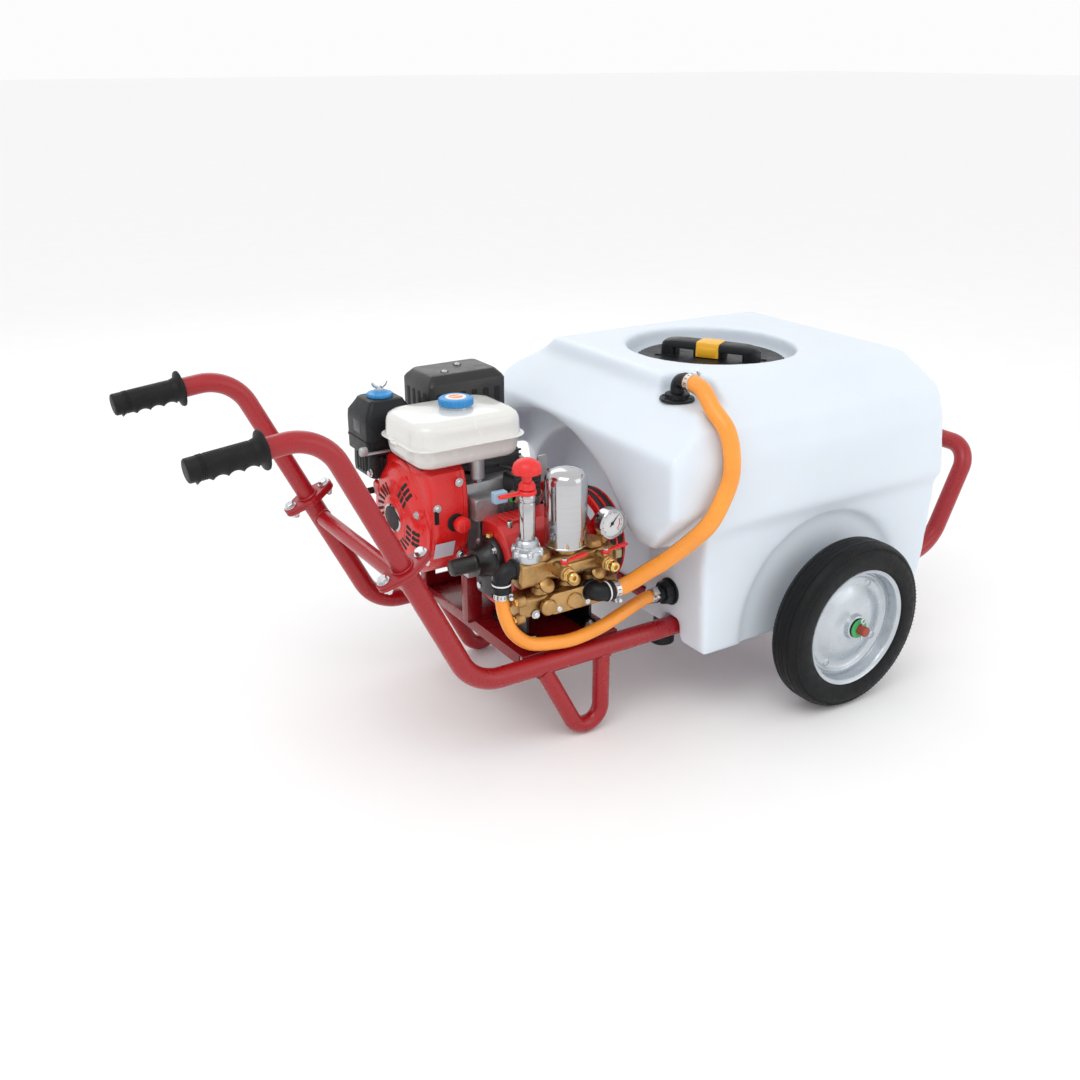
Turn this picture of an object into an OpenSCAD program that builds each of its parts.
// Wheeled sprayer cart: tube frame on two wheels, petrol engine, belt driven plunger pump, plastic tank.
// Frame: X forward (handles to guard), Y to the left hand of the person pushing, Z up, millimetres, Z = 0 on the ground.

/* [Frame] */
// Outside diameter of the lower frame tube
tube_d = 38; // [32:1:42]
// Outside diameter of the handle tube
handle_d = 34; // [28:1:36]
// Distance from the middle plane to each side tube
side_y = 200; // [185:1:205]
// Wall of the frame tubes
tube_wall = 2; // [1.5:0.5:4]
// Diameter of the leg tube
leg_d = 32; // [26:1:36]

/* [Wheels] */
// Outside diameter of the tyres
wheel_d = 340; // [330:1:345]
// Width of the tyres
tyre_w = 72; // [60:1:76]
// Distance from the middle plane to the middle of each wheel
wheel_y = 370; // [365:1:380]
// Diameter of the axle rod
axle_d = 20; // [16:1:24]

/* [Tank] */
// Wall of the tank
tank_wall = 6; // [4:0.5:8]
// Diameter of the filler hole
filler_d = 256; // [200:1:270]
// Diameter of the lid
lid_d = 300; // [280:1:310]

/* [Engine and pump] */
// Diameter of the pump pulley
pump_pulley_d = 184; // [150:1:190]
// Diameter of the engine pulley
engine_pulley_d = 62; // [50:1:80]
// Diameter of the air dome
dome_d = 76; // [60:1:84]

/* [Hoses] */
// Outside diameter of the return hose
return_hose_d = 31; // [20:1:34]
// Outside diameter of the suction hose
suction_hose_d = 25; // [20:1:30]

/* [Hidden] */
$fn = 48;
tr = tube_d / 2;
hr = handle_d / 2;
lr = leg_d / 2;
ar = axle_d / 2;
run = 0.05;
gap = 0.3;
tube_z = 170;
axle_x = 320;
joint_x = -535;
joint_z = 419;
slope = [0.4442, 0, -0.8959];
rise = [0.4122, 0, 0.9111];
crank_y = 77;
crank_z = 395;
pump_y = -80;
pump_z = 342;
head_y = -178;
dome_x = -207;
reg_x = -287;
gauge_x = -127;
cock_ax = -237;
cock_bx = -149;
lid_x = 258;
elbow_x = 32;
elbow_y = -178;
shelf_z = 612;
return_route = [[32, -208, 652], [32, -224, 652], [29, -254, 646], [25, -286, 622], [27, -322, 594],
    [33, -332, 553], [29, -338, 512], [12, -340, 475], [-12, -337, 434], [-34, -309, 392],
    [-57, -275, 352], [-77, -250, 326], [-94, -236, 309], [-110, -228, 299], [-126, -226, 296],
    [-138, -226, 296]];
suction_route = [[-340, -178, 322], [-340, -178, 310], [-338, -186, 278], [-326, -194, 246],
    [-296, -200, 220], [-250, -204, 210], [-205, -208, 208], [-150, -211, 218], [-100, -208, 232],
    [-55, -203, 243], [-34, -202, 246], [-22, -202, 246]];

function unit(v) = v / norm(v);
function setback(a, b, c, r) = r * tan(acos(unit(b - a) * unit(c - b)) / 2);

module along(a, b) {
    d = b - a;
    translate(a) rotate([0, acos(d.z / norm(d)), atan2(d.y, d.x)]) children();
}

module rod(a, b, r) {
    along(a, b) cylinder(h = norm(b - a), r = r);
}

module ring2(ro, ri) {
    if (ri > 0) {
        difference() {
            circle(r = ro);
            circle(r = ri);
        }
    } else {
        circle(r = ro);
    }
}

module straight(a, b, ro, ri) {
    along(a, b) linear_extrude(norm(b - a)) ring2(ro, ri);
}

module bend(a, b, c, r, ro, ri) {
    d1 = unit(b - a);
    d2 = unit(c - b);
    th = acos(d1 * d2);
    s = b - d1 * r * tan(th / 2);
    n = unit(d2 - d1 * (d1 * d2));
    o = s + n * r;
    ex = -n;
    ez = cross(ex, d1);
    multmatrix([[ex.x, d1.x, ez.x, o.x], [ex.y, d1.y, ez.y, o.y], [ex.z, d1.z, ez.z, o.z], [0, 0, 0, 1]])
        rotate_extrude(angle = th) translate([r, 0]) ring2(ro, ri);
}

module bent_tube(p, r, ro, ri) {
    n = len(p);
    for (i = [0 : n - 2]) {
        d = unit(p[i + 1] - p[i]);
        s = i == 0 ? p[i] : p[i] + d * setback(p[i - 1], p[i], p[i + 1], r);
        e = i == n - 2 ? p[i + 1] : p[i + 1] - d * setback(p[i], p[i + 1], p[i + 2], r);
        straight(s, e, ro, ri);
    }
    for (i = [1 : 1 : n - 2]) {
        bend(p[i - 1], p[i], p[i + 1], r, ro, ri);
    }
}

// smooth sweep of a round section through a short list of route points
function cr(p0, p1, p2, p3, t) = 0.5 * ((2 * p1) + (p2 - p0) * t + (2 * p0 - 5 * p1 + 4 * p2 - p3) * t * t
    + (3 * p1 - p0 - 3 * p2 + p3) * t * t * t);
function smooth(p, k) = [for (i = [0 : len(p) - 2]) for (j = [0 : k - 1])
    cr(i == 0 ? 2 * p[0] - p[1] : p[i - 1], p[i], p[i + 1],
        i == len(p) - 2 ? 2 * p[i + 1] - p[i] : p[i + 2], j / k), p[len(p) - 1]];

module sweep(route, r) {
    p = smooth(route, 3);
    n = len(p);
    m = 12;
    last = len(route) - 1;
    d = [for (i = [0 : n - 1]) i == 0 ? unit(route[1] - route[0])
        : i == n - 1 ? unit(route[last] - route[last - 1]) : unit(p[i + 1] - p[i - 1])];
    u = [for (i = [0 : n - 1]) unit(cross(d[i], [1, 0.35, 0.1]))];
    v = [for (i = [0 : n - 1]) cross(d[i], u[i])];
    pts = [for (i = [0 : n - 1]) for (j = [0 : m - 1])
        p[i] + r * (cos(360 * j / m) * u[i] + sin(360 * j / m) * v[i])];
    caps = [[for (j = [0 : m - 1]) j], [for (j = [m - 1 : -1 : 0]) (n - 1) * m + j]];
    sides = [for (i = [0 : n - 2]) for (j = [0 : m - 1])
        [i * m + j, (i + 1) * m + j, (i + 1) * m + (j + 1) % m, i * m + (j + 1) % m]];
    polyhedron(points = pts, faces = concat(caps, sides), convexity = 10);
}

function s0(y) = [joint_x, y, joint_z];
function s1(y) = s0(y) + slope * (joint_z - tube_z) / 0.8959;
function s2(y) = [748, y, tube_z];
function g1(y) = s2(y) + rise * 240;
function g0(y) = s2(y) + rise * 165;

module side_tube(s) {
    r = 90;
    a1 = atan2(slope.z, slope.x);
    a2 = atan2(rise.z, rise.x);
    t1 = r * tan(-a1 / 2);
    t2 = r * tan(a2 / 2);
    x1 = s1(0).x + t1;
    x2 = s2(0).x - t2;
    l1 = (joint_z - tube_z) / 0.8959 - t1;
    translate([0, s * side_y, 0]) rotate([90, 0, 0]) {
        translate([joint_x, joint_z, 0]) rotate([0, 0, a1]) rotate([0, 90, 0])
            linear_extrude(l1) ring2(tr, tr - tube_wall);
        translate([x1, tube_z + r, 0]) rotate([0, 0, a1 - 90]) rotate_extrude(angle = -a1)
            translate([r, 0]) ring2(tr, tr - tube_wall);
        difference() {
            translate([x1, tube_z, 0]) rotate([0, 90, 0]) linear_extrude(x2 - x1) ring2(tr, tr - tube_wall);
            translate([axle_x, tube_z, -40]) cylinder(h = 80, r = ar);
        }
        translate([x2, tube_z + r, 0]) rotate([0, 0, -90]) rotate_extrude(angle = a2)
            translate([r, 0]) ring2(tr, tr - tube_wall);
        translate([s2(0).x, tube_z, 0]) rotate([0, 0, a2]) translate([t2, 0, 0]) rotate([0, 90, 0])
            linear_extrude(165 - t2) ring2(tr, tr - tube_wall);
    }
}

module side_tube_left() {
    color([0.42, 0.03, 0.04]) side_tube(1);
}

module side_tube_right() {
    color([0.42, 0.03, 0.04]) side_tube(-1);
}

module guard_bar() {
    color([0.42, 0.03, 0.04]) translate(g0(0)) rotate([0, -atan2(rise.z, rise.x), 0]) {
        for (s = [-1, 1]) {
            translate([0, s * side_y, 0]) rotate([0, 90, 0]) linear_extrude(25) ring2(tr, tr - tube_wall);
            translate([25, s * (side_y - 50), 0]) rotate([0, 0, s > 0 ? 0 : -90]) rotate_extrude(angle = 90)
                translate([50, 0]) ring2(tr, tr - tube_wall);
        }
        translate([75, 50 - side_y, 0]) rotate([-90, 0, 0]) linear_extrude(2 * side_y - 100) ring2(tr, tr - tube_wall);
    }
}

module rear_cross_tube() {
    x = joint_x + 20;
    z = joint_z - 40.3;
    color([0.42, 0.03, 0.04]) difference() {
        rod([x, -side_y, z], [x, side_y, z], 15);
        rod([x, -side_y - 1, z], [x, side_y + 1, z], 13);
        for (s = [-1, 1]) rod(s0(s * side_y), s0(s * side_y) + slope * 200, tr);
    }
}

function h1(y) = [-659.5, y, 670];
function h2(y) = [-860, y, 648.8];

module handle_tube(s) {
    y = s * side_y;
    bent_tube([s0(y), h1(y), h2(y)], 85, hr, hr - tube_wall);
}

module handle_tube_left() {
    color([0.42, 0.03, 0.04]) handle_tube(1);
}

module handle_tube_right() {
    color([0.42, 0.03, 0.04]) handle_tube(-1);
}

module flange_plate(bore) {
    linear_extrude(6) difference() {
        union() {
            circle(r = 27);
            polygon([[-8, 26.5], [-40, 11], [-40, -11], [-8, -26.5], [8, -26.5], [40, -11], [40, 11], [8, 26.5]]);
            for (s = [-1, 1]) translate([s * 40, 0]) circle(r = 12);
        }
        circle(r = bore);
        for (s = [-1, 1]) translate([s * 38, 0]) circle(r = 5.2);
    }
}

module joint_flanges() {
    color([0.42, 0.03, 0.04]) for (s = [-1, 1]) {
        along(s0(s * side_y), s0(s * side_y) - slope) flange_plate(hr);
        along(s0(s * side_y), s0(s * side_y) - slope) translate([0, 0, -6]) flange_plate(tr);
    }
}

module flange_bolts() {
    color([0.7, 0.7, 0.72]) for (s = [-1, 1]) {
        along(s0(s * side_y), s0(s * side_y) - slope) for (t = [-1, 1]) translate([t * 38, 0, 0]) {
            translate([0, 0, -20]) cylinder(h = 32, r = 5);
            translate([0, 0, 6]) cylinder(h = 7, r = 9.2, $fn = 6);
            translate([0, 0, -14]) cylinder(h = 8, r = 9.2, $fn = 6);
        }
    }
}

module grip(s) {
    y = s * side_y;
    d = unit(h2(y) - h1(y));
    along(h2(y) + d * 5, h2(y)) rotate_extrude() polygon([[0, 0], [18, 0], [20.5, 3], [20.5, 26], [19.5, 30],
        [20.5, 34], [20.5, 104], [19.5, 108], [19.5, 112], [31, 114], [31, 119], [19, 121], [hr, 121],
        [hr, 5], [0, 5]]);
}

module grip_left() {
    color([0.05, 0.05, 0.05]) grip(1);
}

module grip_right() {
    color([0.05, 0.05, 0.05]) grip(-1);
}

module leg(s) {
    y = s * side_y;
    difference() {
        bent_tube([[-139, y, tube_z], [-139, y, -89.4], [-273, y, tube_z]], 34, lr, lr - tube_wall);
        rod([-400, y, tube_z], [0, y, tube_z], tr);
    }
}

module leg_left() {
    color([0.42, 0.03, 0.04]) leg(1);
}

module leg_right() {
    color([0.42, 0.03, 0.04]) leg(-1);
}

module tray() {
    z = tube_z + tr;
    color([0.4, 0.02, 0.03]) difference() {
        union() {
            translate([-307, -192, z]) cube([209, 384, 3]);
            translate([-307, -192, z - 22]) cube([3, 384, 22]);
            translate([-101, -192, z - 22]) cube([3, 384, 22]);
        }
        for (s = [-1, 1]) rod([-400, s * side_y, tube_z], [0, s * side_y, tube_z], tr);
        for (x = [-261, -139]) for (y = [-148, -20]) translate([x - 4, y - 12, z - 1]) cube([8, 24, 5]);
        for (x = [-300, -170]) for (y = [-5, 159]) translate([x, y, z - 1]) cylinder(h = 5, r = 4.5);
    }
}

module engine_pedestal() {
    z = tube_z + tr + 3;
    color([0.42, 0.02, 0.03]) difference() {
        translate([-322, -20, z]) cube([176, 194, 285 - z]);
        translate([-323, -12, z - 1]) cube([178, 178, 281 - z]);
        translate([-290, 20, 270]) cube([112, 114, 30]);
        for (x = [-300, -170]) for (y = [-5, 159]) translate([x, y, 270]) cylinder(h = 20, r = 4.5);
        for (y = [-21, 160]) translate([-290, y, 215]) cube([112, 16, 42]);
    }
}

module pump_stand() {
    z = tube_z + tr + 3;
    color([0.05, 0.05, 0.05]) difference() {
        union() {
            for (x = [-272, -150]) translate([x, -170, z]) cube([22, 140, 5]);
            translate([-272, -150, z + 5]) cube([144, 100, 262 - z - 5]);
        }
        translate([-264, -151, z - 1]) cube([128, 102, 60]);
        for (x = [-261, -139]) for (y = [-148, -20]) translate([x - 4, y - 12, z - 1]) cube([8, 24, 9]);
    }
}

module tank_crossbars() {
    color([0.42, 0.03, 0.04]) difference() {
        for (x = [90, 550]) translate([x - 20, -side_y, 155]) cube([40, 2 * side_y, 10]);
        for (s = [-1, 1]) rod([0, s * side_y, tube_z], [700, s * side_y, tube_z], tr);
        translate([-40, -side_y - 30, 150]) cube([760, 30, 30]);
        translate([-40, side_y, 150]) cube([760, 30, 30]);
    }
}

module axle() {
    color([0.45, 0.12, 0.08]) difference() {
        union() {
            rod([axle_x, -425, tube_z], [axle_x, 425, tube_z], ar);
            rod([axle_x, -side_y, tube_z], [axle_x, side_y, tube_z], 16);
            for (s = [-1, 1]) rod([axle_x, s * side_y, tube_z], [axle_x, s * 334.7, tube_z], 16);
        }
        for (s = [-1, 1]) difference() {
            rod([axle_x - 60, s * side_y, tube_z], [axle_x + 60, s * side_y, tube_z], tr);
            rod([axle_x, -300, tube_z], [axle_x, 300, tube_z], ar);
        }
        for (s = [-1, 1]) rod([axle_x, s * 413, tube_z - 20], [axle_x, s * 413, tube_z + 20], 1.9);
    }
}

module tyre(s) {
    wr = wheel_d / 2;
    w = tyre_w / 2;
    translate([axle_x, s * wheel_y, wr]) rotate([90, 0, 0]) rotate_extrude($fn = 96) polygon([[111, -27],
        [111, 27], [118.5, 27], [118.5, w - 4], [126, w], [148, w], [160, w - 4], [wr - 4, w - 12],
        [wr, w - 22], [wr, 22 - w], [wr - 4, 12 - w], [160, 4 - w], [148, -w], [126, -w],
        [118.5, 4 - w], [118.5, -27]]);
}

module rim(s) {
    translate([axle_x, s * wheel_y, wheel_d / 2]) rotate([s > 0 ? -90 : 90, 0, 0]) rotate_extrude($fn = 96)
        polygon([[ar + run, -35], [21, -35], [21, 6], [34, 9], [50, 20], [78, 20], [92, 10], [108, 10],
        [108, -27], [115, -28], [115, -31], [118.5, -31], [118.5, -27], [111, -27], [111, 27],
        [118.5, 27], [118.5, 31], [115, 31], [115, 28], [108, 28], [108, 13], [93, 13], [79, 23],
        [49, 23], [33, 12], [21, 12], [21, 32], [ar + run, 32]]);
}

module tyre_left() {
    color([0.04, 0.04, 0.04]) tyre(1);
}

module tyre_right() {
    color([0.04, 0.04, 0.04]) tyre(-1);
}

module rim_left() {
    color([0.7, 0.72, 0.74]) rim(1);
}

module rim_right() {
    color([0.7, 0.72, 0.74]) rim(-1);
}

module axle_washers() {
    color([0.1, 0.6, 0.25]) for (s = [-1, 1]) {
        y = s * (wheel_y + 32);
        difference() {
            rod([axle_x, y + s * gap, tube_z], [axle_x, y + s * 5, tube_z], 19);
            rod([axle_x, y - 9, tube_z], [axle_x, y + 9, tube_z], ar);
        }
    }
}

module cotter_pins() {
    color([0.8, 0.8, 0.8]) for (s = [-1, 1]) {
        rod([axle_x, s * 413, tube_z - 19], [axle_x, s * 413, tube_z + 14], 1.8);
        translate([axle_x, s * 413 - 1.8, tube_z + 13]) rotate([-90, 0, 0]) translate([0, -5, 0])
            linear_extrude(3.6) ring2(6.5, 3);
    }
}

module tank_solid(w, top) {
    intersection() {
        rotate([90, 0, 0]) linear_extrude(800, center = true) polygon([[24 + w, 145 + w], [10 + w, 355 + w],
            [-68 + w, 366 + w], [-80 + w, 430], [-80 + w, 552 - w], [-49 + w, 566 - w], [-6 + w, 606 - w / 2],
            [22 + w, top], [565 - w, top - 8], [590 - w, 588], [619 - w, 410], [614 - w, 240], [598 - w, 145 + w]]);
        rotate([90, 0, 90]) translate([0, 0, -200]) linear_extrude(1000) polygon([[-300 + w, 145 + w],
            [-302 + w, 385], [-318 + w, 412], [-318 + w, 520], [-300 + w, 590 - w / 2],
            [-205 + w / 2, top], [205 - w / 2, top], [300 - w, 590 - w / 2], [318 - w, 520],
            [318 - w, 412], [302 - w, 385], [300 - w, 145 + w], [224 + w, 145 + w],
            [224 + w, 191 + w], [176 - w, 191 + w], [176 - w, 165 + w], [-176 + w, 165 + w],
            [-176 + w, 191 + w], [-224 - w, 191 + w], [-224 - w, 145 + w]]);
    }
}

module tank_cuts(w) {
    intersection() {
        translate([-200, 100, 200]) rotate([0, 90, 0]) cylinder(h = 205 + w, r = 338 + w, $fn = 96);
        translate([-200, -400, 0]) cube([300, 685 + w, 700]);
    }
    translate([-200, 75, 290]) rotate([0, 90, 0]) cylinder(h = 290 + w, r = 205 + w, $fn = 96);
    translate([lid_x, 0, shelf_z - w]) cylinder(h = 100, r = lid_d / 2 + 18 + w, $fn = 96);
    translate([-100, -400, shelf_z - w]) cube([178 + w, 258 + w, 100]);
    translate([axle_x - 30 - w, -400, 100]) cube([60 + 2 * w, 800, 92 + w]);
    for (s = [-1, 1]) rotate([90, 0, 90]) translate([0, 0, -200]) linear_extrude(212 + w)
        polygon([[s * 340, 445 + 1.3 * w], [s * 318, 445 + 1.3 * w], [s * (250 - 1.3 * w), 366],
            [s * (250 - 1.3 * w), 330], [s * 340, 330]]);
    for (s = [-1, 1]) translate([axle_x, s * (400 - w), 170]) rotate([90, 0, 0])
        cylinder(h = 220, r = 205 + w, center = true, $fn = 96);
}

module tank_shell() {
    color([0.85, 0.89, 0.93]) difference() {
        tank_solid(0, 655);
        tank_cuts(0);
        difference() {
            tank_solid(tank_wall, 649);
            tank_cuts(tank_wall);
        }
        translate([lid_x, 0, 590]) cylinder(h = 60, r = filler_d / 2, $fn = 96);
        translate([elbow_x, elbow_y, 590]) cylinder(h = 60, r = 12);
        rod([-20, -202, 246], [60, -202, 246], 12);
        translate([45, -148, 150]) cylinder(h = 40, r = 14);
    }
}

module tank_lid() {
    color([0.05, 0.05, 0.05]) translate([lid_x, 0, shelf_z]) difference() {
        union() {
            rotate_extrude($fn = 96) polygon([[0, gap], [lid_d / 2, gap], [lid_d / 2, 9], [lid_d / 2 - 8, 15],
                [118, 15], [110, 9], [40, 9], [0, 9]]);
            translate([0, 0, -14]) cylinder(h = 16, r = filler_d / 2 - 1.5, $fn = 96);
        }
        translate([0, 0, -15]) cylinder(h = 15 + gap, r = filler_d / 2 - 6, $fn = 96);
    }
}

module lid_bar() {
    color([0.9, 0.6, 0.05]) translate([lid_x, 0, shelf_z + 9]) rotate([0, 0, -60]) difference() {
        translate([0, 0, 0]) linear_extrude(36) union() {
            translate([-80, -22]) square([160, 44]);
            for (s = [-1, 1]) translate([s * 80, 0]) circle(r = 21.5);
        }
        for (s = [-1, 1]) translate([s * 52 - 20, -40, -1]) cube([40, 80, 21]);
    }
}

module tank_elbow() {
    color([0.05, 0.05, 0.05]) {
        translate([elbow_x, elbow_y, shelf_z - 20]) cylinder(h = 21, r = 11.9);
        translate([elbow_x, elbow_y, shelf_z]) cylinder(h = 6, r = 32);
        translate([elbow_x, elbow_y, shelf_z + 6]) cylinder(h = 8, r = 21);
        bent_tube([[elbow_x, elbow_y, shelf_z + 14], [elbow_x, elbow_y, 652], [elbow_x, -208, 652]], 18, 13, 0);
    }
}

module tank_outlet() {
    color([0.05, 0.05, 0.05]) {
        x = 16;
        straight([x, -202, 246], [40, -202, 246], 11.9, 8);
        difference() {
            rod([-4, -202, 246], [x, -202, 246], 23);
            rod([-5, -202, 246], [x + 1, -202, 246], 8);
        }
        straight([-22, -202, 246], [-4, -202, 246], 15, 8);
    }
}

module drain_cap() {
    color([0.05, 0.05, 0.05]) {
        translate([45, -148, 145]) linear_extrude(35) ring2(13.9, 9);
        translate([45, -148, 128]) linear_extrude(37) ring2(19, 13.9);
        translate([45, -148, 108]) cylinder(h = 20, r = 24);
    }
}

module return_hose() {
    color([0.95, 0.55, 0.1]) sweep(return_route, return_hose_d / 2);
}

module suction_hose() {
    color([0.95, 0.55, 0.1]) sweep(suction_route, suction_hose_d / 2);
}

module clamp(a, d, r) {
    along(a, a + d) difference() {
        union() {
            cylinder(h = 10, r = r + 1.8);
            translate([r - 1, -5, -1]) cube([8, 10, 12]);
            translate([r + 3, -10, 5]) rotate([-90, 0, 0]) cylinder(h = 20, r = 3.5);
        }
        translate([0, 0, -2]) cylinder(h = 14, r = r + 0.7);
    }
}

module hose_clamps() {
    color([0.75, 0.76, 0.78]) {
        clamp(return_route[0] + unit(return_route[1] - return_route[0]) * 3,
            return_route[1] - return_route[0], return_hose_d / 2);
        clamp(return_route[15] + unit(return_route[14] - return_route[15]) * 2,
            return_route[14] - return_route[15], return_hose_d / 2);
        clamp(suction_route[0] + unit(suction_route[1] - suction_route[0]) * 2,
            suction_route[1] - suction_route[0], suction_hose_d / 2);
        clamp(suction_route[11] + unit(suction_route[10] - suction_route[11]) * 2,
            suction_route[10] - suction_route[11], suction_hose_d / 2);
    }
}

module engine_block() {
    color([0.6, 0.6, 0.62]) difference() {
        union() {
            translate([-322, -25, 285]) cube([172, 200, 12]);
            translate([-326, -8, 297]) cube([172, 166, 168]);
            translate([-326, 20, 465]) cube([150, 96, 50]);
            rod([-158, crank_y, crank_z], [-140, crank_y, crank_z], 52);
            translate([-300, 157, 340]) cube([130, 19, 110]);
        }
        translate([-314, 0, 280]) cube([148, 152, 172]);
        rod([-175, crank_y, crank_z], [-130, crank_y, crank_z], 12.5 + run);
        for (x = [-300, -170]) for (y = [-18, 168]) translate([x, y, 280]) cylinder(h = 30, r = 4.5);
        translate([-290, -10, 415]) rotate([-90, 0, 0]) cylinder(h = 20, r = 12);
    }
}

module cylinder_head() {
    color([0.6, 0.6, 0.62]) {
        translate([-292, 176, 350]) cube([114, 20, 92]);
        for (i = [0 : 4]) translate([-300, 199 + 8 * i, 342]) cube([130, 4, 108]);
        translate([-270, 196, 362]) cube([70, 42, 68]);
        rod([-235, 235, 396], [-235, 262, 396], 11);
    }
}

module blower_housing() {
    color([0.75, 0.03, 0.03]) difference() {
        union() {
            rod([-400, crank_y, crank_z], [-334, crank_y, crank_z], 112);
            translate([-400, -20, crank_z]) cube([66, 194, 112]);
            translate([-334, 0, 330]) cube([8, 154, 130]);
        }
        rod([-398, crank_y, crank_z], [-338, crank_y, crank_z], 106);
        rod([-401, crank_y, crank_z], [-397, crank_y, crank_z], 92);
        rod([-339, crank_y, crank_z], [-325, crank_y, crank_z], 40);
        rod([-346, -60, 408], [-346, -12, 408], 9.3);
    }
}

module recoil_cover() {
    color([0.75, 0.03, 0.03]) difference() {
        translate([-400, crank_y, crank_z]) rotate([0, -90, 0]) rotate_extrude($fn = 96) polygon([[0, 23],
            [40, 23], [78, 18], [90, 6], [104, 6], [104, 0], [86, 0], [75, 14], [40, 19], [0, 19]]);
        for (i = [0 : 17]) translate([-400, crank_y, crank_z]) rotate([i * 20, 0, 0])
            translate([-30, 38, -2.2]) cube([40, 30, 4.4]);
    }
}

module fuel_form(w) {
    translate([0, 0, 515 + w]) linear_extrude(85 - 2 * w) polygon([[-426 + w, -38], [-414, -50 + w],
        [-218, -50 + w], [-206 - w, -38], [-206 - w, 98], [-218, 110 - w], [-414, 110 - w], [-426 + w, 98]]);
}

module fuel_tank() {
    color([0.9, 0.9, 0.88]) difference() {
        union() {
            fuel_form(0);
            translate([-432, -56, 552]) cube([232, 172, 4]);
            translate([-308, 30, 600]) cylinder(h = 5, r = 28);
        }
        fuel_form(3);
        translate([-308, 30, 590]) cylinder(h = 20, r = 22);
    }
}

module fuel_cap() {
    color([0.1, 0.45, 0.75]) translate([-308, 30, 605 + gap]) {
        cylinder(h = 13, r = 31);
        translate([0, 0, 13]) cylinder(h = 3, r = 22);
        translate([0, 0, -12]) cylinder(h = 12, r = 20.5);
    }
}

module air_cleaner() {
    color([0.05, 0.05, 0.05]) {
        difference() {
            union() {
                translate([-440, 128, 508]) cube([100, 96, 92]);
                translate([-440, 190, 452]) cube([100, 34, 57]);
            }
            translate([-436, 132, 512]) cube([92, 88, 84]);
            translate([-436, 194, 451]) cube([92, 26, 58]);
        }
        translate([-444, 124, 512]) cube([4, 104, 8]);
        translate([-390, 176, 600]) cylinder(h = 10, r = 24);
        translate([-390, 176, 610]) cylinder(h = 8, r = 12);
        translate([-408, 173, 614]) cube([36, 6, 14]);
    }
}

module carburetor() {
    color([0.5, 0.5, 0.52]) {
        translate([-338, 190, 385]) cube([38, 30, 50]);
        translate([-372, 190, 392]) cube([34, 32, 38]);
        translate([-392, 192, 392]) cube([22, 32, 60]);
        translate([-319, 205, 365]) cylinder(h = 20, r = 14);
    }
}

module muffler() {
    color([0.05, 0.05, 0.05]) difference() {
        union() {
            translate([-312, 122, 518]) cube([164, 116, 114]);
            translate([-262, 180, 452]) cube([60, 42, 66]);
        }
        translate([-308, 126, 514]) cube([156, 108, 114]);
        for (i = [0 : 5]) translate([-300 + i * 25, 119, 550]) cube([14, 8, 50]);
        for (i = [0 : 3]) translate([-316, 140 + i * 22, 550]) cube([8, 10, 50]);
    }
}

module throttle_lever() {
    color([0.55, 0.55, 0.57]) {
        translate([-452, 115, 509]) cube([88, 8, 4]);
        translate([-462, 113, 508]) cube([16, 12, 18]);
        translate([-368, 119, 507 + gap]) cylinder(h = 7, r = 8);
    }
}

module recoil_grip() {
    color([0.05, 0.05, 0.05]) {
        rod([-448, 150, 428], [-424 - gap, 150, 428], 6);
        translate([-466, 142, 404]) cube([18, 16, 48]);
    }
}

module oil_cap() {
    color([0.75, 0.03, 0.03]) {
        rod([-346, -62, 408], [-346, -36.5, 408], 14);
        rod([-346, -36.5, 408], [-346, -30, 408], 9);
    }
}

module pulley(x, y, z, r, hub) {
    translate([x, y, z]) rotate([0, 90, 0]) rotate_extrude($fn = 96) polygon([[hub, -19], [hub + 12, -19],
        [hub + 12, -4], [r - 16, -4], [r - 16, -19], [r, -19], [r, -13.5], [r - 9, -13.5],
        [r - 9, -3.5], [r, -3.5], [r, 3.5], [r - 9, 3.5], [r - 9, 13.5], [r, 13.5], [r, 19],
        [r - 16, 19], [r - 16, 4], [hub + 12, 4], [hub + 12, 19], [hub, 19]]);
}

module crank_pulley() {
    color([0.7, 0.05, 0.05]) {
        rod([-170, crank_y, crank_z], [-66, crank_y, crank_z], 12.5);
        translate([-88, crank_y, crank_z]) rotate([0, 90, 0]) rotate_extrude($fn = 96) polygon([[12.5, -19],
            [31, -19], [31, -13.5], [22, -13.5], [22, -3.5], [31, -3.5], [31, 3.5], [22, 3.5],
            [22, 13.5], [31, 13.5], [31, 19], [12.5, 19]]);
    }
}

module pump_pulley() {
    color([0.7, 0.05, 0.05]) {
        rod([-150, pump_y, pump_z], [-66, pump_y, pump_z], 12);
        difference() {
            pulley(-88, pump_y, pump_z, pump_pulley_d / 2, 12);
            for (i = [0 : 4]) translate([-88, pump_y, pump_z]) rotate([i * 72, 0, 0]) translate([0, 50, 0])
                rotate([0, 90, 0]) cylinder(h = 20, r = 14, center = true);
        }
    }
}

module belt(x) {
    r1 = pump_pulley_d / 2;
    r2 = engine_pulley_d / 2;
    dy = crank_y - pump_y;
    dz = crank_z - pump_z;
    dd = sqrt(dy * dy + dz * dz);
    b = asin((r1 - r2) / dd);
    translate([x, pump_y, pump_z]) rotate([90, 0, 90]) rotate([0, 0, atan2(dz, dy)]) {
        rotate([0, 0, 90 - b]) rotate_extrude(angle = 180 + 2 * b, $fn = 96) translate([r1 - 8.5, -4.5]) square([8, 9]);
        translate([dd, 0, 0]) rotate([0, 0, b - 90]) rotate_extrude(angle = 180 - 2 * b, $fn = 96)
            translate([r2 - 8.5, -4.5]) square([8, 9]);
        for (s = [-1, 1]) rotate([0, 0, s * (90 - b)]) translate([r1 - 8.5, s > 0 ? -dd * cos(b) : 0, -4.5])
            cube([8, dd * cos(b), 9]);
    }
}

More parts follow.
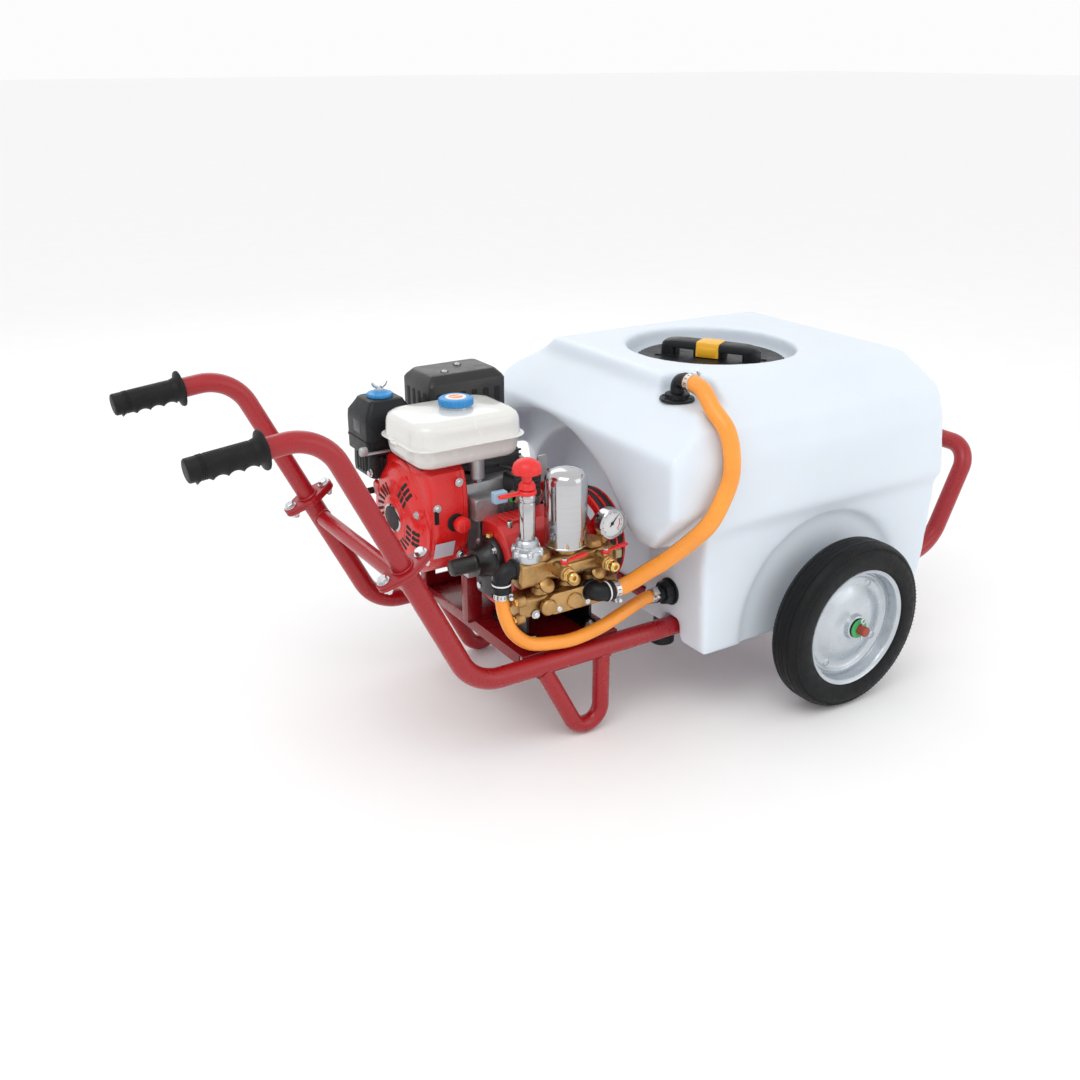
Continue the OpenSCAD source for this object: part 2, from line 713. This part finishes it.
module drive_belts() {
    color([0.05, 0.05, 0.05]) {
        belt(-96.5);
        belt(-79.5);
    }
}

module pump_crankcase() {
    color([0.75, 0.04, 0.04]) difference() {
        union() {
            rotate([90, 0, 90]) translate([0, 0, -300]) linear_extrude(172) polygon([[-146, 262], [-146, 385],
                [-122, 412], [-62, 412], [-40, 388], [-40, 262]]);
            rod([-128, pump_y, pump_z], [-122, pump_y, pump_z], 34);
            for (x = [-262, -207, -152]) rod([x, -152, 338], [x, -140, 338], 21);
            translate([-240, -110, 412]) cylinder(h = 12, r = 15);
        }
        translate([-292, -138, 258]) cube([156, 90, 130]);
        rod([-160, pump_y, pump_z], [-100, pump_y, pump_z], 12 + run);
    }
}

module pump_end_cover() {
    color([0.06, 0.06, 0.06]) {
        rod([-312, pump_y, pump_z], [-300, pump_y, pump_z], 44);
        rod([-340, pump_y, pump_z], [-312, pump_y, pump_z], 26);
        rod([-388, pump_y, pump_z], [-340, pump_y, pump_z], 15);
        for (i = [0 : 3]) translate([-316, pump_y, pump_z]) rotate([45 + i * 90, 0, 0]) translate([0, 36, 0])
            rotate([0, 90, 0]) cylinder(h = 4, r = 5, $fn = 6);
    }
}

module pump_head() {
    color([0.62, 0.42, 0.2]) difference() {
        union() {
            translate([-318, -202, 268]) cube([210, 50, 42]);
            translate([-306, -200, 310]) cube([196, 48, 16]);
            translate([-318, -202, 326]) cube([206, 50, 50]);
            for (x = [dome_x, -152]) translate([x, head_y, 376]) cylinder(h = 8, r = 19);
            for (x = [-262, -207]) rod([x, -212, 290], [x, -202, 290], 14);
            for (x = [cock_ax, cock_bx]) {
                rod([x, -232, 352], [x, -202, 352], 12);
                rod([x, -252, 352], [x, -232, 352], 9);
                translate([x, -220, 360]) cylinder(h = 8, r = 6);
            }
            rod([-114, -190, 350], [-99, -190, 350], 14, $fn = 6);
            translate([gauge_x, head_y, 376]) cylinder(h = 12, r = 9);
        }
        translate([-300, -188, 276]) cube([184, 22, 24]);
    }
}

module air_dome() {
    color([0.8, 0.8, 0.82]) translate([dome_x, head_y, 384]) rotate_extrude() {
        polygon([[9, 0], [20, 0], [20, 12], [38, 12], [38, 118], [36, 128], [30, 136], [20, 141], [0, 143],
            [0, 140], [19, 138], [28, 133], [33.5, 126], [35, 117], [35, 15], [9, 15]]);
    }
}

module gauge_body() {
    color([0.75, 0.76, 0.78]) {
        difference() {
            rod([gauge_x, -212, 416], [gauge_x, -186, 416], 28);
            rod([gauge_x, -213, 416], [gauge_x, -206, 416], 25);
        }
        translate([gauge_x, -194, 388]) cylinder(h = 5, r = 6);
    }
}

module gauge_needle() {
    color([0.05, 0.05, 0.05]) {
        rod([gauge_x, -209, 416], [gauge_x, -206.3, 416], 3);
        translate([gauge_x, -208.2, 416]) rotate([0, -45, 0]) translate([-5, 0, -0.8]) cube([24, 1, 1.6]);
    }
}

module regulator_body() {
    color([0.8, 0.8, 0.82]) difference() {
        union() {
            translate([reg_x, head_y, 376]) cylinder(h = 24, r = 24, $fn = 6);
            translate([reg_x, head_y, 400]) cylinder(h = 12, r = 20);
            translate([reg_x, head_y, 412]) cylinder(h = 82, r = 14);
        }
        translate([reg_x, head_y, 470]) cylinder(h = 30, r = 6 + run);
    }
}

module regulator_knob() {
    color([0.8, 0.04, 0.04]) translate([reg_x, head_y, 0]) {
        translate([0, 0, 474]) cylinder(h = 44, r = 6);
        translate([0, 0, 518]) rotate_extrude() polygon([[0, 0], [10, 0], [12, 8], [24, 12], [25, 22], [22, 32],
            [14, 38], [0, 40]]);
    }
}

module relief_lever() {
    color([0.8, 0.04, 0.04]) translate([reg_x, head_y, 494 + gap]) difference() {
        union() {
            cylinder(h = 8, r = 14);
            translate([-50, -5, 2]) cube([44, 10, 5]);
            translate([-56, -7, 1]) cube([14, 14, 7]);
        }
        translate([0, 0, -1]) cylinder(h = 12, r = 6 + gap);
    }
}

module cock_lever(x) {
    translate([x, -220, 368 + gap]) {
        cylinder(h = 5, r = 8);
        translate([4, -5, 1]) cube([42, 10, 4]);
    }
}

module cock_lever_a() {
    color([0.8, 0.04, 0.04]) cock_lever(cock_ax);
}

module cock_lever_b() {
    color([0.8, 0.04, 0.04]) cock_lever(cock_bx);
}

module pump_elbows() {
    color([0.05, 0.05, 0.05]) {
        bent_tube([[-318, head_y, 360], [-340, head_y, 360], [-340, head_y, 322]], 18, 16, 0);
        bent_tube([[-170, -202, 296], [-170, -226, 296], [-138, -226, 296]], 20, 17, 0);
    }
}

module mount_bolts() {
    color([0.7, 0.7, 0.72]) {
        for (x = [-300, -170]) for (y = [-18, 168]) translate([x, y, 297]) {
            cylinder(h = 8, r = 8, $fn = 6);
            translate([0, 0, -12]) cylinder(h = 12, r = 4.4);
        }
        for (x = [-261, -139]) for (y = [-160, -40]) translate([x, y, tube_z + tr + 8]) cylinder(h = 8, r = 9, $fn = 6);
    }
}

side_tube_left();
side_tube_right();
guard_bar();
rear_cross_tube();
handle_tube_left();
handle_tube_right();
joint_flanges();
flange_bolts();
grip_left();
grip_right();
leg_left();
leg_right();
tray();
engine_pedestal();
pump_stand();
tank_crossbars();
axle();
tyre_left();
rim_left();
tyre_right();
rim_right();
axle_washers();
cotter_pins();
tank_shell();
tank_lid();
lid_bar();
tank_elbow();
tank_outlet();
drain_cap();
return_hose();
suction_hose();
hose_clamps();
engine_block();
cylinder_head();
blower_housing();
recoil_cover();
fuel_tank();
fuel_cap();
air_cleaner();
carburetor();
muffler();
throttle_lever();
recoil_grip();
oil_cap();
crank_pulley();
pump_crankcase();
pump_end_cover();
pump_head();
air_dome();
gauge_body();
gauge_needle();
regulator_body();
regulator_knob();
relief_lever();
cock_lever_a();
cock_lever_b();
pump_elbows();
pump_pulley();
drive_belts();
mount_bolts();
